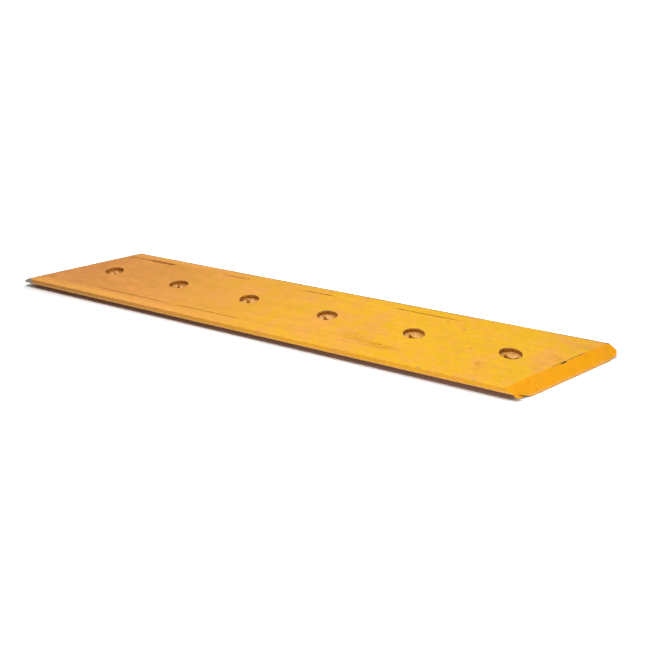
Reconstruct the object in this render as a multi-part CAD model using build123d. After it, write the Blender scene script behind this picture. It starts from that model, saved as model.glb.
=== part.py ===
from build123d import *
import math
import os

# Reversible dozer end bit: one plate of rolled, bevelled steel bar, cut to a parallelogram.
# The plan maps onto itself when it is turned half a turn about Z, so a worn edge can be swapped
# for the fresh one. The bolt heads sink into the upper face; the lower face beds on the blade.
# Origin: on the lower face, under the middle of the row of holes. +X runs along the plate.

# Rolled bar section
plate_thickness = 25.0
plate_width = 254.0
edge_land = 13.0            # upright part of each long edge, below the upper face
under_bevel_run = 22.0      # how far each long edge is undercut down to the lower face
margin_width = 32.0         # strip outside each rolled crease line
margin_fall = 0.8           # how much that strip falls towards the long edge
top_break_radius = 1.5
land_foot_radius = 2.0
heel_radius = 2.0           # where the undercut meets the lower face

# Cut ends
end_skew_deg = 30.0         # lean of both ends from square, in plan
centre_half_length = 592.0  # from the middle to the end bevel's upper edge, along the row of holes
end_bevel_deg = 50.0        # slope of the cut, measured from upright
end_nose = 4.0              # upright face left under the end bevel

# Plough-bolt holes, one row on the centre line
hole_count = 6
hole_pitch = 200.0
sink_diameter = 44.5
sink_wall_depth = 8.5       # straight wall above the conical seat
seat_angle_deg = 80.0
neck_side = 28.0            # square hole that stops the bolt from turning
neck_corner_radius = 1.5
rim_chamfer = 0.5

cut_overrun = 10.0

half_width = plate_width / 2
end_bevel_run = (plate_thickness - end_nose) * math.tan(math.radians(end_bevel_deg))
skew = math.radians(end_skew_deg)
bar_half_length = centre_half_length + half_width * math.tan(skew) + 2 * end_bevel_run
sink_radius = sink_diameter / 2
seat_slope = math.tan(math.radians(seat_angle_deg / 2))


def bar_section():
    """Section across the rolled bar, looking along it: local x is +Y, local y is +Z."""
    crease = half_width - margin_width
    shoulder_height = plate_thickness - margin_fall
    land_foot_height = plate_thickness - edge_land
    heel = half_width - under_bevel_run
    right_side = [
        (crease, plate_thickness),
        (half_width, shoulder_height),
        (half_width, land_foot_height),
        (heel, 0),
    ]
    left_side = [(-y, z) for y, z in reversed(right_side)]
    outline = make_face(Polyline(*right_side, *left_side, close=True))
    for height, radius in (
        (shoulder_height, top_break_radius),
        (land_foot_height, land_foot_radius),
        (0, heel_radius),
    ):
        corners = [v for v in outline.vertices() if math.isclose(v.Y, height, abs_tol=1e-6)]
        outline = fillet(corners, radius)
    return Plane.YZ * outline


def rolled_bar():
    """The bar before its ends are cut, long enough for both skewed ends."""
    return extrude(bar_section(), amount=bar_half_length, both=True)


def end_offcut():
    """All that is cut away at the +X end: beyond the sloped face and the nose below it."""
    across_end = Plane(
        origin=(centre_half_length, 0, 0),
        x_dir=(math.cos(skew), -math.sin(skew), 0),
        z_dir=(-math.sin(skew), -math.cos(skew), 0),
    )
    top = plate_thickness + cut_overrun
    reach = 2 * bar_half_length
    back_over_top = -cut_overrun * math.tan(math.radians(end_bevel_deg))
    outline = make_face(
        Polyline(
            (back_over_top, top),
            (reach, top),
            (reach, -cut_overrun),
            (end_bevel_run, -cut_overrun),
            (end_bevel_run, end_nose),
            close=True,
        )
    )
    return extrude(across_end * outline, amount=2 * plate_width, both=True)


def bolt_hole():
    """Countersunk plough-bolt hole at the origin: straight wall, conical seat, square neck.

    The seat's cone runs on inside the neck, so each flat of the neck cuts it in one clean curve.
    """
    wall_bottom = plate_thickness - sink_wall_depth
    cone_end_radius = neck_side / 4
    cone_end = wall_bottom - (sink_radius - cone_end_radius) / seat_slope
    profile = Polyline(
        (0, plate_thickness + rim_chamfer),
        (sink_radius + 2 * rim_chamfer, plate_thickness + rim_chamfer),
        (sink_radius, plate_thickness - rim_chamfer),
        (sink_radius, wall_bottom),
        (cone_end_radius, cone_end),
        (0, cone_end),
        close=True,
    )
    sink = revolve(Plane.XZ * make_face(profile), Axis.Z)
    neck_outline = RectangleRounded(neck_side, neck_side, neck_corner_radius)
    neck = extrude(Pos(0, 0, -cut_overrun) * neck_outline, amount=plate_thickness + cut_overrun)
    return sink + neck


def end_bit_plate():
    """The finished end bit: bar, two skewed ends, and the row of bolt holes."""
    plate = rolled_bar()
    offcut = end_offcut()
    plate -= offcut
    plate -= Rot(0, 0, 180) * offcut
    first_hole = -(hole_count - 1) * hole_pitch / 2
    for index in range(hole_count):
        plate -= Pos(first_hole + index * hole_pitch, 0, 0) * bolt_hole()
    return plate


os.makedirs("parts", exist_ok=True)
export_step(end_bit_plate(), "parts/end_bit_plate.step")
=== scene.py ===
import math
import bmesh
import bpy
from mathutils import Euler, Matrix, Vector, geometry, noise


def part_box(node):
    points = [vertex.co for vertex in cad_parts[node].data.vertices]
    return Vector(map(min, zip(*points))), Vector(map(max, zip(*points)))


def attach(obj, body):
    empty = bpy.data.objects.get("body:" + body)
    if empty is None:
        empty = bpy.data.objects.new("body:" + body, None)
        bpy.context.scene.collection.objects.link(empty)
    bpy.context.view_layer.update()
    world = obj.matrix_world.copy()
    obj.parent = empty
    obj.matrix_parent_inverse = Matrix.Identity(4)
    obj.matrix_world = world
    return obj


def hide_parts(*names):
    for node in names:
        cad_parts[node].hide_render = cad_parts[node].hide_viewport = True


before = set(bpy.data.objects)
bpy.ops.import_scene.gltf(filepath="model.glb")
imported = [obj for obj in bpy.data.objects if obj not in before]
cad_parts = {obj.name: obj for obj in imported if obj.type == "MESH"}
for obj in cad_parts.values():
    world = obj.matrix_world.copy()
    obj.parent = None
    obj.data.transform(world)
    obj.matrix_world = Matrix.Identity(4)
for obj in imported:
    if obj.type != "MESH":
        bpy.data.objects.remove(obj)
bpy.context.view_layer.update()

# The camera.
# It stands beyond the plate's right end, in front of its long near edge, and looks down on it.
# Its place and turn were worked out from the six like holes and the plate's parallel edges.
mm = 0.001
photo_width = 650
lens_in_photo_widths = 701.2 / photo_width
view_yaw = math.radians(26.94)
view_pitch = math.radians(27.18)
view_roll = math.radians(-0.92)
camera_place = (716.7 * mm, -1225.0 * mm, 705.1 * mm)

camera_lens = bpy.data.cameras.new("photo_camera")
camera_lens.sensor_width = 36
camera_lens.lens = camera_lens.sensor_width * lens_in_photo_widths
camera = bpy.data.objects.new("photo_camera", camera_lens)
aim = Euler((math.pi / 2 - view_pitch, 0, view_yaw)).to_matrix()
aim = aim @ Matrix.Rotation(view_roll, 3, "Z")
camera.matrix_world = Matrix.Translation(camera_place) @ aim.to_4x4()
bpy.context.scene.collection.objects.link(camera)
bpy.context.scene.camera = camera


# The rolled bar.
# A flat of hard wearing steel. Each long edge is rolled with an upright land, undercut below, and
# with a faint lap line 32 mm in from the edge, where the rolls pressed the margin a little lower.
plate_low, plate_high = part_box("end_bit_plate")
plate_thickness = plate_high.z - plate_low.z
half_width = plate_high.y
margin_width = 32 * mm
margin_fall = 0.8 * mm
edge_land = 13 * mm
under_bevel_run = 22 * mm
shoulder_radius = 1.5 * mm
land_foot_radius = 2 * mm
heel_radius = 2 * mm
lap_groove = 1.2 * mm
lap_groove_depth = 0.4 * mm
lap_dirt_and_shade_reach = 5 * mm

# Where the lap line stands open, in metres along the plate, and how far its dirt and painted shade spread there, as
# a share of the widest. Elsewhere the rolls pressed it shut.
near_open_laps = ((-0.48, -0.25, 0.26), (-0.24, -0.06, 0.22))
far_open_laps = (
    (-0.53, -0.455, 0.4), (-0.48, -0.375, 0.9), (-0.24, -0.150, 0.35), (-0.02, 0.08, 0.4), (0.215, 0.375, 0.35),
)

half_length = 592 * mm      # from the middle to the end bevel's upper edge, along the row of holes
lean = math.tan(math.radians(30))
end_bevel = math.radians(50)
end_nose = 4 * mm

hole_count = 6
hole_pitch = 200 * mm
last_divider = (hole_count / 2 - 1) * hole_pitch
stations_per_hole = 60
rows_between_laps = 88


class Skin:
    """The plate's surface: points that neighbouring patches share by name, and the faces on them."""

    def __init__(self):
        self.points = []
        self.faces = []
        self.numbers = {}
        self.lap_dirt_and_shade = {}

    def point(self, name, place):
        if name not in self.numbers:
            self.numbers[name] = len(self.points)
            self.points.append(place)
        return self.numbers[name]

    def patch(self, rows, finish, closed=False):
        """Four-sided faces between each row of points and the next."""
        for row, following in zip(rows, rows[1:]):
            count = len(row)
            for here in range(count if closed else count - 1):
                after = (here + 1) % count
                corners = (row[here], row[after], following[after], following[here])
                corners = tuple(dict.fromkeys(corners))
                if len(corners) > 2:
                    self.faces.append((corners, finish))


def on_bar(along, across, height):
    """A point of the bar, whose section runs out further below than above at the sloped ends."""
    fall = plate_thickness - max(height, end_nose)
    run_out = fall * math.tan(end_bevel) * math.sqrt(1 + lean * lean)
    into_end = max(0, (abs(along) - last_divider) / (half_length - last_divider))
    return Vector((along + math.copysign(run_out * into_end, along) + across * lean, across, height))


def spaced(start, end, steps):
    return [start + (end - start) * step / steps for step in range(1, steps)]


def rounded(before, corner, after, radius, steps):
    """The arc that rounds one corner of an outline, from the side before it to the side after."""
    to_before, to_after = (before - corner).normalized(), (after - corner).normalized()
    half_angle = to_before.angle(to_after) / 2
    setback = radius / math.tan(half_angle)
    centre = corner + (to_before + to_after).normalized() * radius / math.sin(half_angle)
    start, end = corner + to_before * setback - centre, corner + to_after * setback - centre
    start_angle = math.atan2(start.y, start.x)
    turn = math.remainder(math.atan2(end.y, end.x) - start_angle, math.tau)
    angles = [start_angle + turn * step / steps for step in range(steps + 1)]
    return [centre + radius * Vector((math.cos(angle), math.sin(angle))) for angle in angles]


def edge_outline():
    """One long edge from the lap line round to the lower face, as two halves that meet on the land."""
    lap = Vector((half_width - margin_width, plate_thickness))
    shoulder = Vector((half_width, plate_thickness - margin_fall))
    foot = Vector((half_width, plate_thickness - edge_land))
    heel = Vector((half_width - under_bevel_run, 0))
    middle = (shoulder + foot) / 2
    lap_in = [lap - Vector((reach, 0)) for reach in (lap_dirt_and_shade_reach, lap_groove)]
    lap_out = [lap.lerp(shoulder, reach / margin_width) for reach in (lap_groove, lap_dirt_and_shade_reach)]
    shoulder_arc = rounded(lap, shoulder, foot, shoulder_radius, 4)
    foot_arc = rounded(shoulder, foot, heel, land_foot_radius, 4)
    heel_arc = rounded(foot, heel, Vector((0, 0)), heel_radius, 3)
    upper = [*lap_in, lap, *lap_out, *spaced(lap_out[-1], shoulder_arc[0], 5), *shoulder_arc]
    upper += [shoulder_arc[-1].lerp(middle, 0.5), middle]
    lower = [middle, *spaced(middle, foot_arc[0], 2), *foot_arc]
    lower += [*spaced(foot_arc[-1], heel_arc[0], 5), *heel_arc]
    return upper, lower


def lap_opening(along, side):
    """How far the lap line's dirt and painted shade spread at this place, as a share of the widest."""
    taper = 25 * mm
    ragged = 1 + 0.6 * noise.noise(Vector((along * 45, side * 3, 1)))
    return max(
        spread * ragged * max(0, min(along - start, end - along, taper)) / taper
        for start, end, spread in (far_open_laps if side > 0 else near_open_laps)
    )


upper_outline, lower_outline = edge_outline()
lap_row = 2
stations = [
    cell_start + (cell_end - cell_start) * step / stations_per_hole
    for cell_start, cell_end in zip(
        [-half_length] + [(cell - 2) * hole_pitch for cell in range(5)],
        [(cell - 2) * hole_pitch for cell in range(5)] + [half_length],
    )
    for step in range(stations_per_hole)
] + [half_length]

skin = Skin()
rolled_face, cut_end, bolt_hole = range(3)


def edge_row(side, row, outline):
    """One row of points along the plate, at one point of the long edge's outline."""
    points = []
    for number, along in enumerate(stations):
        across, height = outline
        opening = lap_opening(along + side * across * lean, side) if row <= 2 * lap_row else 0
        groove = lap_groove_depth * min(1, 3 * opening) * (row == lap_row)
        place = on_bar(along, side * across, height - groove)
        points.append(skin.point(("edge", side, row, number), place))
        skin.lap_dirt_and_shade[points[-1]] = opening
    return points


edge_rows = {
    side: [edge_row(side, row, outline) for row, outline in enumerate(upper_outline + lower_outline[1:])]
    for side in (-1, 1)
}
for side in (-1, 1):
    skin.patch(edge_rows[side], rolled_face)


# The cut ends.
# Both ends are flame cut at 30 degrees to square, the same way, so the plate can be turned end for
# end. The cut slopes at 50 degrees from upright, down to a 4 mm nose.
def divider(level, station, near_row, far_row, height):
    """A slanting row of points across a flat face, from one long edge's outline to the other's."""
    near, far = near_row[station], far_row[station]
    width = skin.points[far].y - skin.points[near].y
    between = [
        skin.point(
            (level, "divider", station, step),
            on_bar(stations[station], skin.points[near].y + width * step / rows_between_laps, height),
        )
        for step in range(1, rows_between_laps)
    ]
    return [near, *between, far]


divider_stations = [cell * stations_per_hole for cell in range(hole_count + 1)]
levels = {
    "upper": (0, plate_thickness),
    "lower": (-1, 0),
}
dividers = {
    level: [
        divider(level, station, edge_rows[-1][row], edge_rows[1][row], height)
        for station in divider_stations
    ]
    for level, (row, height) in levels.items()
}


def end_face(station, divider_number):
    """Columns of points from the upper outline of the section down to the lower one."""
    middle = len(upper_outline) - 1
    side_rows = {side: [row[station] for row in edge_rows[side]] for side in (-1, 1)}
    top = side_rows[-1][middle::-1] + dividers["upper"][divider_number][1:-1] + side_rows[1][:middle + 1]
    bottom = (
        side_rows[-1][middle:]
        + dividers["lower"][divider_number][1:-1]
        + side_rows[1][:middle - 1:-1]
    )
    nose = end_nose / plate_thickness
    depths = (0.05, 0.12, 0.22, 0.34, 0.46, 0.58, 0.7, 0.82, 1 - nose)
    columns = []
    for number, (high, low) in enumerate(zip(top, bottom)):
        start, end = skin.points[high], skin.points[low]
        column = [high]
        for depth in depths:
            if high == low:
                continue
            height = start.z + (end.z - start.z) * depth
            across = start.y + (end.y - start.y) * depth
            name = ("end", station, number, depth)
            column.append(skin.point(name, on_bar(stations[station], across, height)))
        if high == low:
            column *= len(depths) + 1
        columns.append(column + [low])
    skin.patch(columns, cut_end)


end_face(0, 0)
end_face(len(stations) - 1, hole_count)


# The plough-bolt holes.
# Each has a straight countersink wall, an 80 degree seat for the bolt's head, and a square neck
# that keeps the bolt from turning. The neck breaks through the seat in four curved edges.
sink_radius = 22.25 * mm
sink_wall_depth = 8.5 * mm
seat_slope = math.tan(math.radians(80 / 2))
half_neck = 28 / 2 * mm
neck_corner_radius = 1.5 * mm
rim_break = 0.5 * mm
neck_foot_break = 0.5 * mm
upper_rings = 17
lower_rings = 6
last_ring = 0.97            # a close ring just inside each patch's border, where edges get knocked


def neck_radius(angle):
    """How far the rounded square neck is from its axis in this direction."""
    across, along = sorted((abs(math.cos(angle)), abs(math.sin(angle))))
    to_side = half_neck / along
    flat_half = half_neck - neck_corner_radius
    if to_side * across <= flat_half:
        return to_side
    toward = flat_half * (across + along)
    return toward + math.sqrt(toward ** 2 - 2 * flat_half ** 2 + neck_corner_radius ** 2)


def hole_profile(angle):
    """Radius and height down the hole's wall in this direction, from rim to lower face."""
    neck = neck_radius(angle)
    wall_top = plate_thickness - rim_break
    wall_bottom = plate_thickness - sink_wall_depth
    seat_bottom = wall_bottom - (sink_radius - neck) / seat_slope
    profile = [
        (sink_radius + rim_break, plate_thickness),
        (sink_radius + 0.3 * rim_break, wall_top + 0.3 * rim_break),
    ]
    profile += [(sink_radius, wall_top + (wall_bottom - wall_top) * step / 4) for step in range(5)]
    profile += [
        (sink_radius + (neck - sink_radius) * step / 5, wall_bottom + (seat_bottom - wall_bottom) * step / 5)
        for step in range(1, 6)
    ]
    profile += [(neck, seat_bottom + (neck_foot_break - seat_bottom) * step / 3) for step in range(1, 4)]
    profile.append((neck + neck_foot_break, 0))
    return profile


def cell_border(level, cell):
    """The closed loop of points round the flat patch that one hole sits in."""
    row = levels[level][0]
    first, last = divider_stations[cell], divider_stations[cell + 1]
    near = edge_rows[-1][row][first:last + 1]
    far = edge_rows[1][row][first:last + 1]
    right, left = dividers[level][cell + 1], dividers[level][cell]
    return near + right[1:-1] + far[::-1] + left[-2:0:-1]


def flat_patch(border, rim, rings, name, tighten):
    """Rings of faces that spread from a hole's rim to the border of its patch."""
    rows = [rim]
    for ring, share in enumerate([(ring / rings) ** tighten for ring in range(1, rings)] + [last_ring]):
        rows.append([
            skin.point((name, ring, number), skin.points[start].lerp(skin.points[end], share))
            for number, (start, end) in enumerate(zip(rim, border))
        ])
    rows.append(border)
    skin.patch(rows, rolled_face, closed=True)


for cell in range(hole_count):
    axis = Vector(((cell - (hole_count - 1) / 2) * hole_pitch, 0))
    upper_border = cell_border("upper", cell)
    angles = [
        math.atan2(skin.points[number].y - axis.y, skin.points[number].x - axis.x) for number in upper_border
    ]
    profiles = [hole_profile(angle) for angle in angles]
    wall = [
        [
            skin.point(
                ("hole", cell, depth, number),
                Vector((
                    axis.x + profile[depth][0] * math.cos(angle),
                    axis.y + profile[depth][0] * math.sin(angle),
                    profile[depth][1],
                )),
            )
            for number, (angle, profile) in enumerate(zip(angles, profiles))
        ]
        for depth in range(len(profiles[0]))
    ]
    skin.patch(wall, bolt_hole, closed=True)
    flat_patch(upper_border, wall[0], upper_rings, ("upper flat", cell), 1.7)
    flat_patch(cell_border("lower", cell), wall[-1], lower_rings, ("lower flat", cell), 1.5)


# The plate's body.
# The patches are joined into one closed skin, which is then worn: the rolls leave it slightly
# wavy and pitted, handling knocks its edges back, and nothing stands proud of the new steel.
wave_depth = 0.16 * mm
pit_depth = 0.12 * mm
edge_knock_depth = 0.55 * mm
end_edge_round = 0.45 * mm

# Each blow: where it starts and ends, how far it reaches round that line, how deep it went, and
# how much of the paint it took.
blows = (
    # A gouge in the right end's upper edge, and a fainter one beyond it
    ((0.5975, 0.004, 0.0245), (0.6035, 0.0155, 0.0245), 3.8 * mm, 1.6 * mm, 1),
    ((0.6215, 0.047, 0.0245), (0.6300, 0.060, 0.0245), 2.4 * mm, 0.4 * mm, 1),
    # Two pits in the right end's slope
    ((0.5524, -0.0786, 0.0205), (0.5532, -0.0791, 0.0205), 3.4 * mm, 1.2 * mm, 1),
    ((0.5592, -0.0880, 0.0115), (0.5600, -0.0885, 0.0115), 3.0 * mm, 0.6 * mm, 0.9),
    # The right end's near foot is broken back, its far foot is rounded, the left end's tip is knocked
    # Its dark gouge colour is raw metal and also painted shade under the broken foot.
    ((0.5500, -0.1180, 0.0065), (0.5610, -0.1060, 0.0005), 9 * mm, 3.6 * mm, 1),
    ((0.6820, 0.1060, 0.0000), (0.6830, 0.1080, 0.0010), 13 * mm, 3.0 * mm, 0),
    ((-0.6840, -0.1270, 0.0120), (-0.6780, -0.1270, 0.0240), 9 * mm, 0.5 * mm, 0),
)


def blow_at(place):
    """How deep the blows went at this place, and how much of the paint they took."""
    depth, share = 0, 0
    for start, end, reach, blow_depth, paint_lost in blows:
        if abs(place.x - start[0]) > 2 * reach + abs(end[0] - start[0]):
            continue
        nearest, along = geometry.intersect_point_line(place, Vector(start), Vector(end))
        nearest = Vector(start).lerp(Vector(end), max(0, min(1, along)))
        ragged = 1 + 0.3 * noise.noise(place * 400)
        closeness = max(0, 1 - (place - nearest).length * ragged / reach)
        closeness = closeness * closeness * (3 - 2 * closeness)
        depth = max(depth, blow_depth * closeness)
        share = max(share, closeness * paint_lost)
    return depth, share


def worn_depth(place, near_edge):
    """How much of the steel has gone at this place, measured inwards."""
    past_end = abs(place.x - lean * place.y) - half_length
    on_end_edge = near_edge and place.z > plate_thickness - 1.2 * mm and abs(past_end) < 2 * mm
    wave = wave_depth * (0.5 + 0.5 * noise.noise(place * 14))
    pits = pit_depth * max(0, noise.noise(place * 110 + Vector((3, 5, 7))) - 0.25)
    knocks = edge_knock_depth * max(0, noise.noise(place * 75) - 0.12) * near_edge
    return wave + pits + knocks + end_edge_round * on_end_edge


def add_wear_map(mesh, name, values):
    layer = mesh.attributes.new(name, "FLOAT", "POINT")
    layer.data.foreach_set("value", values)


plate_mesh = bpy.data.meshes.new("end_bit_body")
plate_mesh.from_pydata(skin.points, [], [corners for corners, finish in skin.faces])
plate_mesh.polygons.foreach_set("material_index", [finish for corners, finish in skin.faces])
work = bmesh.new()
work.from_mesh(plate_mesh)
bmesh.ops.recalc_face_normals(work, faces=work.faces)
work.normal_update()
sharp_turn = math.radians(25)
edge_vertices = {
    vertex for edge in work.edges if edge.calc_face_angle(0) >= sharp_turn for vertex in edge.verts
}
struck = []
for vertex in work.verts:
    blow_depth, blow_share = blow_at(vertex.co)
    moved = vertex.co - vertex.normal * (worn_depth(vertex.co, vertex in edge_vertices) + blow_depth)
    vertex.co = [min(max(value, low), high) for value, low, high in zip(moved, plate_low, plate_high)]
    struck.append(blow_share)
work.to_mesh(plate_mesh)
work.free()
add_wear_map(plate_mesh, "struck", struck)
add_wear_map(plate_mesh, "lap_dirt_and_shade", [skin.lap_dirt_and_shade.get(number, 0) for number in range(len(skin.points))])
plate = bpy.data.objects.new("end_bit_body", plate_mesh)
bpy.context.scene.collection.objects.link(plate)
for polygon in plate_mesh.polygons:
    polygon.use_smooth = True
plate_mesh.set_sharp_from_angle(angle=math.radians(28))
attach(plate, "root")
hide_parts("end_bit_plate")


# The slag.
# Steel that ran off the flame cut and set under the right end's near corner. It is one ragged
# lump, grown to the undercut's edge and painted over with the rest.
bead_steps = 36
bead_sides = 12
bead_thickness = 3.2 * mm
bead_drop = 6.5 * mm        # how much lower the bead's far end is than its near one
bead_droops = (2.6, 5.6, 6.0, 4.0, 4.8, 4.4, 2.8, 3.2, 1.8, 1.2)    # mm, evenly along the edge
out_of_end = Vector((math.cos(math.atan(lean)), -math.sin(math.atan(lean)), 0))
down_the_slope = out_of_end * math.sin(end_bevel) - Vector((0, 0, math.cos(end_bevel)))


def foot_edge(share):
    """A point of the edge where the right end's slope meets the near undercut, going down it."""
    height = plate_thickness - edge_land - bead_drop * share
    across = -half_width + under_bevel_run * bead_drop * share / (plate_thickness - edge_land)
    return on_bar(half_length, across, height)


def droop_at(share):
    spot = share * (len(bead_droops) - 1)
    before = min(int(spot), len(bead_droops) - 2)
    return (bead_droops[before] + (bead_droops[before + 1] - bead_droops[before]) * (spot - before)) * mm


bead_points = []
through_the_slope = down_the_slope.cross(foot_edge(1) - foot_edge(0)).normalized()
for step in range(bead_steps + 1):
    share = step / bead_steps
    taper = min(1, 6 * share, 6 * (1 - share)) ** 0.5
    droop = droop_at(share)
    middle = foot_edge(share) + down_the_slope * (droop / 2 - 1.0 * mm)
    for side in range(bead_sides):
        angle = math.tau * side / bead_sides
        lump = 1 + 0.3 * noise.noise(Vector((share * 9, math.cos(angle), math.sin(angle))) * 2)
        reach = down_the_slope * math.cos(angle) * (droop / 2 + 0.6 * mm)
        reach += through_the_slope * math.sin(angle) * bead_thickness / 2
        place = middle + reach * lump * taper
        bead_points.append([min(max(value, low), high) for value, low, high in zip(place, plate_low, plate_high)])
bead_faces = [
    (
        step * bead_sides + side,
        step * bead_sides + (side + 1) % bead_sides,
        (step + 1) * bead_sides + (side + 1) % bead_sides,
        (step + 1) * bead_sides + side,
    )
    for step in range(bead_steps)
    for side in range(bead_sides)
]
bead_faces += [tuple(range(bead_sides)), tuple(range(bead_steps * bead_sides, (bead_steps + 1) * bead_sides))]
slag_mesh = bpy.data.meshes.new("cut_slag")
slag_mesh.from_pydata(bead_points, [], bead_faces)
work = bmesh.new()
work.from_mesh(slag_mesh)
bmesh.ops.recalc_face_normals(work, faces=work.faces)
work.to_mesh(slag_mesh)
work.free()
for polygon in slag_mesh.polygons:
    polygon.use_smooth = True
slag = bpy.data.objects.new("cut_slag", slag_mesh)
bpy.context.scene.collection.objects.link(slag)
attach(slag, "root")
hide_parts("end_bit_plate")


# Places on the plate.
# What the finishes need to know of the plate's shape: how far along and across it a point lies, how
# near the closest hole, end or knocked edge is.
class Wiring:
    """Adds nodes to one node tree. Any input takes a plain value or another node's output."""

    def __init__(self, tree):
        self.tree = tree

    def join(self, socket, value):
        if isinstance(value, bpy.types.NodeSocket):
            self.tree.links.new(value, socket)
        else:
            socket.default_value = value

    def node(self, kind, inputs, **settings):
        made = self.tree.nodes.new("ShaderNode" + kind)
        for name, value in settings.items():
            setattr(made, name, value)
        for name, value in inputs.items():
            self.join(made.inputs[name], value)
        return made

    def math(self, operation, *values, clamp=False):
        made = self.node("Math", dict(enumerate(values)), operation=operation, use_clamp=clamp)
        return made.outputs[0]

    def add(self, *values):
        total = values[0]
        for value in values[1:]:
            total = self.math("ADD", total, value)
        return total

    def times(self, *values):
        product = values[0]
        for value in values[1:]:
            product = self.math("MULTIPLY", product, value)
        return product

    def least(self, *values):
        lowest = values[0]
        for value in values[1:]:
            lowest = self.math("MINIMUM", lowest, value)
        return lowest

    def length(self, *sides):
        joined = self.node("CombineXYZ", dict(enumerate(sides)))
        return self.node("VectorMath", {0: joined.outputs[0]}, operation="LENGTH").outputs["Value"]

    def fade(self, value, start, end):
        """0 at start, 1 at end, smooth between them; start may be the larger of the two."""
        inputs = {"Value": value, "From Min": start, "From Max": end}
        return self.node("MapRange", inputs, interpolation_type="SMOOTHSTEP").outputs[0]

    def blend(self, share, first, second):
        colours = {6: as_colour(first), 7: as_colour(second)}
        return self.node("Mix", {0: share, **colours}, data_type="RGBA").outputs[2]

    def clouds(self, place, scale, detail=3.0, roughness=0.5, distortion=0.0):
        inputs = {
            "Vector": place, "Scale": scale, "Detail": detail, "Roughness": roughness, "Distortion": distortion,
        }
        return self.node("TexNoise", inputs).outputs[0]


def as_colour(value):
    return (*value, 1) if isinstance(value, tuple) and len(value) == 3 else value


def new_group(name, inputs, outputs):
    """An empty shader group with its wiring, its input node and its output node."""
    tree = bpy.data.node_groups.new(name, "ShaderNodeTree")
    for direction, sockets in (("INPUT", inputs), ("OUTPUT", outputs)):
        for socket, kind in sockets.items():
            tree.interface.new_socket(socket, in_out=direction, socket_type="NodeSocket" + kind)
    return tree, Wiring(tree), tree.nodes.new("NodeGroupInput"), tree.nodes.new("NodeGroupOutput")


def use_group(wiring, tree, **inputs):
    made = wiring.tree.nodes.new("ShaderNodeGroup")
    made.node_tree = tree
    for name, value in inputs.items():
        wiring.join(made.inputs[name], value)
    return made.outputs


places, wiring, _, result = new_group(
    "plate_places",
    {},
    {"Place": "Vector", "Along": "Float", "Across": "Float", "Height": "Float", "From Hole": "Float",
     "Past End": "Float", "From Edge": "Float"},
)
place = wiring.node("TexCoord", {}).outputs["Object"]
split = wiring.node("SeparateXYZ", {0: place}).outputs
along, across, height = split[0], split[1], split[2]
beside_hole = wiring.add(wiring.math("WRAP", along, hole_pitch, 0.0), -hole_pitch / 2)
from_hole = wiring.length(beside_hole, across, 0.0)
past_end = wiring.add(wiring.math("ABSOLUTE", wiring.add(along, wiring.times(across, -lean))), -half_length)
square_past_end = wiring.times(past_end, math.cos(math.atan(lean)))
from_side = wiring.add(half_width, wiring.times(wiring.math("ABSOLUTE", across), -1.0))
below_top = wiring.add(plate_thickness, wiring.times(height, -1.0))
from_slope = wiring.add(
    wiring.times(square_past_end, math.cos(end_bevel)), wiring.times(below_top, -math.sin(end_bevel))
)
past_nose = wiring.add(square_past_end, (end_nose - plate_thickness) * math.tan(end_bevel))
from_edge = wiring.least(
    wiring.length(from_side, wiring.add(below_top, -margin_fall), 0.0),
    wiring.length(from_side, wiring.add(height, edge_land - plate_thickness), 0.0),
    wiring.length(square_past_end, below_top, 0.0),
    wiring.length(past_nose, wiring.add(height, -end_nose), 0.0),
    wiring.length(from_slope, from_side, 0.0),
    wiring.length(wiring.add(from_hole, -sink_radius - rim_break), below_top, 0.0),
)
for name, value in {
    "Place": place, "Along": along, "Across": across, "Height": height, "From Hole": from_hole,
    "Past End": past_end, "From Edge": from_edge,
}.items():
    wiring.join(result.inputs[name], value)


# The shop paint.
# One sprayed coat of yellow-orange enamel over the rolled steel. It is fresh and orange on the cut
# ends, yellow on the flat's right half, and goes dusty and brown towards the left. That change is
# partly dust, and partly painted shade on the left and painted light on the right, as if lit from the right.
fresh_orange = (0.90, 0.375, 0.006)
yellow_with_painted_light = (0.83, 0.450, 0.022)
dusty_brown_and_painted_shade = (0.70, 0.280, 0.084)
brighter_margin = (0.90, 0.425, 0.085)
warm_cloud = (0.88, 0.385, 0.095)
lap_dirt_and_shade_brown = (0.26, 0.080, 0.014)
stain_brown = (0.46, 0.150, 0.022)
stain_olive = (0.36, 0.22, 0.015)
paint_roughness = 0.56
orange_peel = 0.03 * mm

# Each stain: its middle, its half sizes along and across, its strength and its colour.
stains = (
    ((0.250, -0.080), (0.050, 0.014), 0.70, stain_brown),
    ((0.200, -0.064), (0.050, 0.022), 0.40, stain_brown),
    ((0.424, -0.012), (0.005, 0.007), 0.75, stain_brown),
    ((0.452, -0.066), (0.006, 0.009), 0.65, stain_brown),
    ((0.458, -0.075), (0.014, 0.024), 0.30, stain_brown),
    ((0.389, 0.060), (0.007, 0.007), 0.65, stain_brown),
    ((0.348, 0.084), (0.005, 0.005), 0.70, stain_brown),
    ((0.627, 0.086), (0.030, 0.016), 0.25, stain_olive),
    ((0.588, 0.020), (0.020, 0.022), 0.30, stain_brown),
    ((-0.620, -0.092), (0.013, 0.009), 0.75, stain_olive),
    ((-0.641, -0.098), (0.006, 0.005), 0.80, stain_olive),
    ((-0.560, -0.110), (0.030, 0.006), 0.30, stain_olive),
    ((-0.345, 0.083), (0.022, 0.006), 0.50, stain_olive),
)

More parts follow.
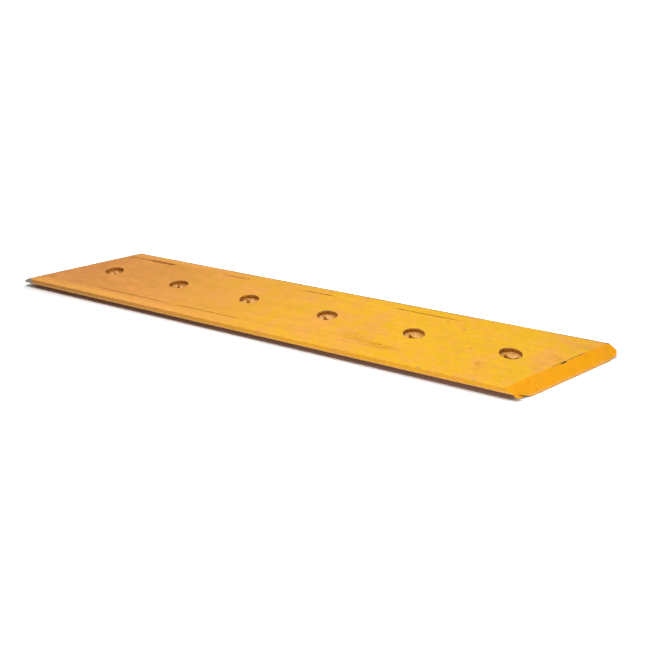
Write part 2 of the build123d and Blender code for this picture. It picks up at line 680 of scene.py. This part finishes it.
paint, wiring, given, result = new_group(
    "shop_paint",
    {"Flat": "Float", "Dust": "Float"},
    {"Color": "Color", "Roughness": "Float", "Height": "Float"},
)
spot = use_group(wiring, places)
drift = wiring.clouds(spot["Place"], 5.0, detail=2.0)
toward_right = wiring.fade(wiring.add(spot["Along"], wiring.times(drift, 0.30)), -0.52, 0.42)
broad_clouds = wiring.fade(wiring.clouds(spot["Place"], 15.0, detail=5.0, roughness=0.6, distortion=0.4), 0.46, 0.68)
from_lap = wiring.add(wiring.math("ABSOLUTE", spot["Across"]), margin_width - half_width)
in_margin = wiring.fade(from_lap, 0.0, 22 * mm)
# Brown on the left, yellow on the right: partly dust, partly painted shade and painted light from the right.
flat_colour = wiring.blend(toward_right, dusty_brown_and_painted_shade, yellow_with_painted_light)
# The margin band is made brighter than the flat, most towards the left.
brighter_margin_share = wiring.times(in_margin, wiring.fade(toward_right, 0.9, 0.1), 0.85)
flat_colour = wiring.blend(brighter_margin_share, flat_colour, brighter_margin)
flat_colour = wiring.blend(wiring.times(broad_clouds, 0.55), flat_colour, warm_cloud)
small_clouds = wiring.fade(wiring.clouds(spot["Place"], 52.0, detail=5.0, roughness=0.65), 0.45, 0.70)
flat_colour = wiring.blend(wiring.times(small_clouds, 0.45), flat_colour, warm_cloud)
colour = wiring.blend(given.outputs["Flat"], fresh_orange, flat_colour)
colour = wiring.blend(wiring.times(given.outputs["Dust"], broad_clouds), colour, dusty_brown_and_painted_shade)
for middle, half_sizes, strength, stain in stains:
    offset = wiring.node("VectorMath", {0: spot["Place"], 1: (*middle, plate_thickness)}, operation="SUBTRACT")
    scaled = wiring.node("VectorMath", {0: offset.outputs[0], 1: (*half_sizes, 4 * mm)}, operation="DIVIDE")
    distance = wiring.node("VectorMath", {0: scaled.outputs[0]}, operation="LENGTH").outputs["Value"]
    speckled = wiring.fade(wiring.clouds(spot["Place"], 190.0, detail=3.0, roughness=0.7), 0.38, 0.62)
    share = wiring.times(wiring.fade(distance, 1.15, 0.25), speckled, strength)
    colour = wiring.blend(share, colour, stain)
fine_specks = wiring.fade(wiring.clouds(spot["Place"], 420.0, detail=1.0), 0.70, 0.78)
colour = wiring.blend(wiring.times(fine_specks, 0.5), colour, stain_brown)
mottling = wiring.clouds(spot["Place"], 70.0, detail=4.0, roughness=0.6)
along_the_rolls = wiring.node("Mapping", {"Vector": spot["Place"], "Scale": (6.0, 95.0, 60.0)}).outputs[0]
streaks = wiring.clouds(along_the_rolls, 1.0, detail=4.0, roughness=0.6)
brightness = wiring.add(0.76, wiring.times(mottling, 0.26), wiring.times(streaks, 0.22))
colour = wiring.node("VectorMath", {0: colour, "Scale": brightness}, operation="SCALE").outputs[0]
lap = wiring.node("Attribute", {}, attribute_name="lap_dirt_and_shade").outputs["Fac"]
lap_ragged = wiring.add(0.35, wiring.times(wiring.clouds(spot["Place"], 170.0, detail=4.0, roughness=0.65), 1.3))
lap_reach = wiring.times(lap, lap_ragged, lap_dirt_and_shade_reach)
lap_inside = wiring.add(lap_reach, wiring.times(wiring.math("ABSOLUTE", from_lap), -1.0))
lap_dirt_and_shade_share = wiring.times(wiring.fade(lap_inside, -0.5 * mm, 0.6 * mm), 0.85)
# Brown along the open lap line: partly dirt, partly painted shade of the groove.
colour = wiring.blend(lap_dirt_and_shade_share, colour, lap_dirt_and_shade_brown)
roughness = wiring.add(
    paint_roughness - 0.08, wiring.times(mottling, 0.16), wiring.times(lap_dirt_and_shade_share, 0.2), wiring.times(streaks, 0.05)
)
peel = wiring.times(wiring.clouds(spot["Place"], 650.0, detail=2.0), orange_peel)
runs = wiring.times(streaks, 0.05 * mm)
wiring.join(result.inputs["Color"], colour)
wiring.join(result.inputs["Roughness"], roughness)
wiring.join(result.inputs["Height"], wiring.add(peel, runs))


# The bare steel.
# Where edges were rubbed the paint is gone: a thin grey line along the far edge and the left end,
# small chips elsewhere, the near left tip, and dark raw metal in the gouges. At the right end's
# broken near foot that dark is also painted shade.
rubbed_steel = (0.34, 0.28, 0.18)
pale_tip = (0.38, 0.31, 0.25)
dull_steel = (0.17, 0.145, 0.12)
gouge_raw_steel_and_shade = (0.085, 0.032, 0.008)
usual_rub = 0.35 * mm
chip_reach = 0.9 * mm
far_edge_rub = 3.6 * mm
left_end_rub = 3.4 * mm
right_end_kept = -1.0 * mm
tip_reach = 41 * mm

steel, wiring, given, result = new_group(
    "bare_steel",
    {},
    {"Bare": "Float", "Metal": "Float", "Color": "Color", "Roughness": "Float", "Height": "Float"},
)
spot = use_group(wiring, places)
chips = wiring.fade(wiring.clouds(spot["Place"], 38.0, detail=4.0, roughness=0.65), 0.50, 0.72)
on_far_edge = wiring.times(
    wiring.fade(spot["Across"], half_width - 8 * mm, half_width - 5 * mm),
    wiring.fade(spot["Height"], plate_thickness - 4 * mm, plate_thickness - 2 * mm),
    wiring.fade(wiring.clouds(spot["Place"], 9.0), 0.30, 0.45),
)
on_left_end = wiring.times(
    wiring.fade(spot["Past End"], -9 * mm, -6 * mm),
    wiring.fade(spot["Along"], -0.4, -0.5),
)
on_right_end = wiring.times(
    wiring.fade(spot["Past End"], -4 * mm, -1 * mm),
    wiring.fade(spot["Along"], 0.4, 0.5),
)
reach = wiring.add(
    usual_rub,
    wiring.times(on_right_end, right_end_kept),
    wiring.times(chips, chip_reach),
    wiring.times(on_far_edge, far_edge_rub),
    wiring.times(on_left_end, left_end_rub),
)
ragged = wiring.times(wiring.clouds(spot["Place"], 700.0, detail=3.0), 1.1 * mm)
edge_bare = wiring.math("SUBTRACT", wiring.add(reach, 0.55 * mm), wiring.add(spot["From Edge"], ragged))
edge_bare = wiring.fade(edge_bare, -0.15 * mm, 0.35 * mm)
tip_offset = wiring.node(
    "VectorMath", {0: spot["Place"], 1: (-0.684, -half_width, plate_thickness / 3)}, operation="SUBTRACT"
)
tip_distance = wiring.node("VectorMath", {0: tip_offset.outputs[0]}, operation="LENGTH").outputs["Value"]
tip_distance = wiring.add(tip_distance, wiring.times(wiring.clouds(spot["Place"], 160.0, detail=4.0), 14 * mm))
tip_bare = wiring.fade(tip_distance, tip_reach, tip_reach - 3 * mm)
struck_share = wiring.node("Attribute", {}, attribute_name="struck").outputs["Fac"]
gouged = wiring.fade(
    wiring.add(struck_share, wiring.times(wiring.clouds(spot["Place"], 500.0, detail=2.0), 0.3)), 0.50, 0.75
)
# The paint cracked in a fine line along the right end's upper edge, either side of the gouge
along_crack = wiring.times(
    wiring.fade(spot["Across"], -20 * mm, -12 * mm), wiring.fade(spot["Across"], 74 * mm, 62 * mm),
    wiring.fade(spot["Along"], 0.4, 0.5),
)
crack_width = wiring.times(wiring.clouds(spot["Place"], 90.0, detail=4.0, roughness=0.7), 2.0 * mm)
crack_wander = wiring.times(wiring.add(wiring.clouds(spot["Place"], 130.0, detail=2.0), -0.5), 2.4 * mm)
from_crack = wiring.math("ABSOLUTE", wiring.add(spot["Past End"], crack_wander))
cracked = wiring.times(along_crack, wiring.fade(wiring.add(crack_width, wiring.times(from_crack, -1.0)), 0.0, 0.7 * mm), 0.8)
gouged = wiring.math("MAXIMUM", gouged, cracked)
bare = wiring.math("MAXIMUM", wiring.math("MAXIMUM", edge_bare, tip_bare), gouged)
steel_colour = wiring.blend(wiring.clouds(spot["Place"], 240.0, detail=4.0), dull_steel, rubbed_steel)
steel_colour = wiring.blend(wiring.times(gouged, wiring.fade(tip_bare, 1.0, 0.0)), steel_colour, gouge_raw_steel_and_shade)
steel_colour = wiring.blend(tip_bare, steel_colour, pale_tip)
wiring.join(result.inputs["Bare"], bare)
wiring.join(result.inputs["Metal"], wiring.times(bare, wiring.fade(wiring.add(tip_bare, gouged), 1.0, 0.0), 0.4))
wiring.join(result.inputs["Color"], steel_colour)
wiring.join(result.inputs["Roughness"], wiring.add(0.38, wiring.times(wiring.clouds(spot["Place"], 300.0), 0.3)))
wiring.join(result.inputs["Height"], wiring.times(bare, -0.06 * mm))


# The finishes.
# The same paint and rubbed steel on all faces. The cut ends show the drag lines of the flame. The
# undercut, the holes' steep walls and a ring round each seat are darkened with painted shade; the
# seats are painted pale with dust and painted light; the side lands darken to the left with dust and painted shade.
drag_line_pitch = 1.7 * mm
drag_line_depth = 0.05 * mm
land_brown = (0.46, 0.19, 0.055)
undercut_painted_shade = (0.34, 0.105, 0.006)
hole_painted_shade = (0.40, 0.135, 0.010)
seat_dust_and_painted_light = (0.90, 0.56, 0.24)
pale_foot_colour = (0.86, 0.46, 0.14)


def new_finish(name, flat, dust):
    """A painted finish with the shader's inputs still open to change before it is wired up."""
    material = bpy.data.materials.new(name)
    material.use_nodes = True
    wiring = Wiring(material.node_tree)
    shader = material.node_tree.nodes["Principled BSDF"]
    shader.inputs["Specular IOR Level"].default_value = 0.12
    coat = use_group(wiring, paint, Flat=flat, Dust=dust)
    return material, wiring, shader, coat


def wire_finish(wiring, shader, colour, roughness, height):
    worn = use_group(wiring, steel)
    wiring.join(shader.inputs["Base Color"], wiring.blend(worn["Bare"], colour, worn["Color"]))
    steel_roughness = wiring.times(worn["Bare"], wiring.add(worn["Roughness"], wiring.times(roughness, -1.0)))
    wiring.join(shader.inputs["Roughness"], wiring.add(roughness, steel_roughness))
    wiring.join(shader.inputs["Metallic"], worn["Metal"])
    relief = wiring.node("Bump", {"Height": wiring.add(height, worn["Height"]), "Distance": 1.0})
    wiring.join(shader.inputs["Normal"], relief.outputs[0])


rolled_finish, wiring, shader, coat = new_finish("paint_on_rolled_steel", 1.0, 0.15)
facing_up = wiring.node("SeparateXYZ", {0: wiring.node("NewGeometry", {}).outputs["Normal"]}).outputs[2]
wiring.join(coat["Color"].node.inputs["Flat"], wiring.fade(facing_up, -0.9, 0.9))
spot = use_group(wiring, places)
below_lip = wiring.add(spot["Height"], edge_land - plate_thickness - 1.5 * mm)
lip = wiring.times(wiring.fade(wiring.math("ABSOLUTE", below_lip), 2.6 * mm, 0.8 * mm), wiring.fade(facing_up, 0.6, 0.3))
# The side lands turn browner and darker towards the left: partly dust, partly painted shade, as on the flat.
left_land = wiring.times(wiring.fade(spot["Along"], 0.15, -0.55), wiring.fade(facing_up, 0.7, 0.4), 0.6)
colour = wiring.blend(left_land, coat["Color"], land_brown)
# The land's lower lip is painted paler.
colour = wiring.blend(wiring.times(lip, 0.55), colour, pale_foot_colour)
# The undercut's downward faces are painted dark brown: painted shade under the overhanging edge.
colour = wiring.blend(wiring.fade(facing_up, -0.3, -0.7), colour, undercut_painted_shade)
wire_finish(wiring, shader, colour, coat["Roughness"], coat["Height"])

cut_finish, wiring, shader, coat = new_finish("paint_on_cut_ends", 0.0, 0.10)
spot = use_group(wiring, places)
lag = wiring.times(spot["Height"], spot["Height"], 14.0)
wander = wiring.times(wiring.clouds(spot["Place"], 40.0), 1.5 * mm)
down_lines = wiring.times(wiring.add(spot["Across"], lag, wander), math.tau / drag_line_pitch)
drag_lines = wiring.times(wiring.math("SINE", down_lines), drag_line_depth / 2)
fading = wiring.fade(wiring.clouds(spot["Place"], 18.0), 0.40, 0.62)
height = wiring.add(coat["Height"], wiring.times(drag_lines, fading))
near_foot = wiring.add(spot["Height"], wiring.times(wiring.clouds(spot["Place"], 60.0, detail=3.0), 4 * mm))
dusty_foot = wiring.times(wiring.fade(near_foot, 9 * mm, 5 * mm), 0.75)
wire_finish(wiring, shader, wiring.blend(dusty_foot, coat["Color"], pale_foot_colour), coat["Roughness"], height)

hole_finish, wiring, shader, coat = new_finish("paint_in_bolt_holes", 0.6, 0.3)
facing_up = wiring.node("SeparateXYZ", {0: wiring.node("NewGeometry", {}).outputs["True Normal"]}).outputs[2]
on_seat = wiring.fade(facing_up, 0.25, 0.55)
spot = use_group(wiring, places)
patchy = wiring.fade(wiring.clouds(spot["Place"], 130.0, detail=4.0, roughness=0.65), 0.35, 0.65)
# Steep hole walls are painted dark brown: painted shade inside the hole.
wall_colour = wiring.blend(wiring.add(0.55, wiring.times(patchy, 0.4)), coat["Color"], hole_painted_shade)
# Seats are painted pale: partly dust, partly painted light where they face up.
seat_colour = wiring.blend(wiring.add(0.30, wiring.times(patchy, 0.65)), coat["Color"], seat_dust_and_painted_light)
# A dark ring round each seat next to the wall: painted shade, stronger towards the left.
ragged_ring = wiring.add(spot["From Hole"], wiring.times(patchy, -4 * mm))
ring_shade_strength = wiring.add(0.35, wiring.times(wiring.fade(spot["Along"], 0.45, -0.35), 0.55))
seat_colour = wiring.blend(wiring.times(wiring.fade(ragged_ring, 14.5 * mm, 20 * mm), ring_shade_strength), seat_colour, hole_painted_shade)
colour = wiring.blend(on_seat, wall_colour, seat_colour)
wire_finish(wiring, shader, colour, wiring.add(coat["Roughness"], 0.08), coat["Height"])

for finish in (rolled_finish, cut_finish, hole_finish):
    plate_mesh.materials.append(finish)
slag_mesh.materials.append(cut_finish)


# The studio.
# A pale floor that turns white away from the plate, a softbox overhead and to the right, a weak
# fill low in front, and a little even light from all round.
floor_reach = 30
floor_tone = 0.94
floor_mesh = bpy.data.meshes.new("studio_floor")
floor_mesh.from_pydata(
    [(-floor_reach, -floor_reach, 0), (floor_reach, -floor_reach, 0), (floor_reach, floor_reach, 0),
     (-floor_reach, floor_reach, 0)],
    [],
    [(0, 1, 2, 3)],
)
floor = bpy.data.objects.new("studio_floor", floor_mesh)
bpy.context.scene.collection.objects.link(floor)
floor_paper = bpy.data.materials.new("white_paper")
floor_paper.use_nodes = True
wiring = Wiring(floor_paper.node_tree)
shader = floor_paper.node_tree.nodes["Principled BSDF"]
shader.inputs["Base Color"].default_value = (floor_tone, floor_tone, floor_tone, 1)
shader.inputs["Roughness"].default_value = 0.9
shader.inputs["Specular IOR Level"].default_value = 0.0
shader.inputs["Emission Color"].default_value = (1, 1, 1, 1)
split = wiring.node("SeparateXYZ", {0: wiring.node("TexCoord", {}).outputs["Object"]}).outputs
across_plate = wiring.math("ABSOLUTE", split[1])
beyond_end = wiring.add(wiring.math("ABSOLUTE", wiring.add(split[0], wiring.times(split[1], -lean))), -half_length)
from_plate = wiring.length(
    wiring.math("MAXIMUM", wiring.add(across_plate, -half_width), 0.0), wiring.math("MAXIMUM", beyond_end, 0.0), 0.0
)
seen = wiring.node("LightPath", {}).outputs["Is Camera Ray"]
wiring.join(shader.inputs["Emission Strength"], wiring.times(seen, wiring.fade(from_plate, 0.004, 0.06)))
floor_mesh.materials.append(floor_paper)

def add_softbox(name, size, energy, place, aim):
    lamp = bpy.data.lights.new(name, "AREA")
    lamp.shape = "RECTANGLE"
    lamp.size, lamp.size_y = size
    lamp.energy = energy
    box = bpy.data.objects.new(name, lamp)
    box.location = place
    box.rotation_euler = (Vector(aim) - box.location).to_track_quat("-Z", "Y").to_euler()
    bpy.context.scene.collection.objects.link(box)


add_softbox("overhead_softbox", (2.2, 0.5), 50, (0.20, -0.12, 2.0), (0.15, -0.05, 0))
add_softbox("front_fill", (1.0, 0.2), 8, (1.1, -1.4, 0.14), (0.45, 0, 0.02))

surroundings = bpy.data.worlds.new("surroundings")
surroundings.use_nodes = True
wiring = Wiring(surroundings.node_tree)
background = surroundings.node_tree.nodes["Background"]
background.inputs["Color"].default_value = (1, 1, 1, 1)
room_light = 0.07
seen = wiring.node("LightPath", {}).outputs["Is Camera Ray"]
wiring.join(background.inputs["Strength"], wiring.add(room_light, wiring.times(seen, 1 - room_light)))
bpy.context.scene.world = surroundings
bpy.context.scene.view_settings.view_transform = "Standard"
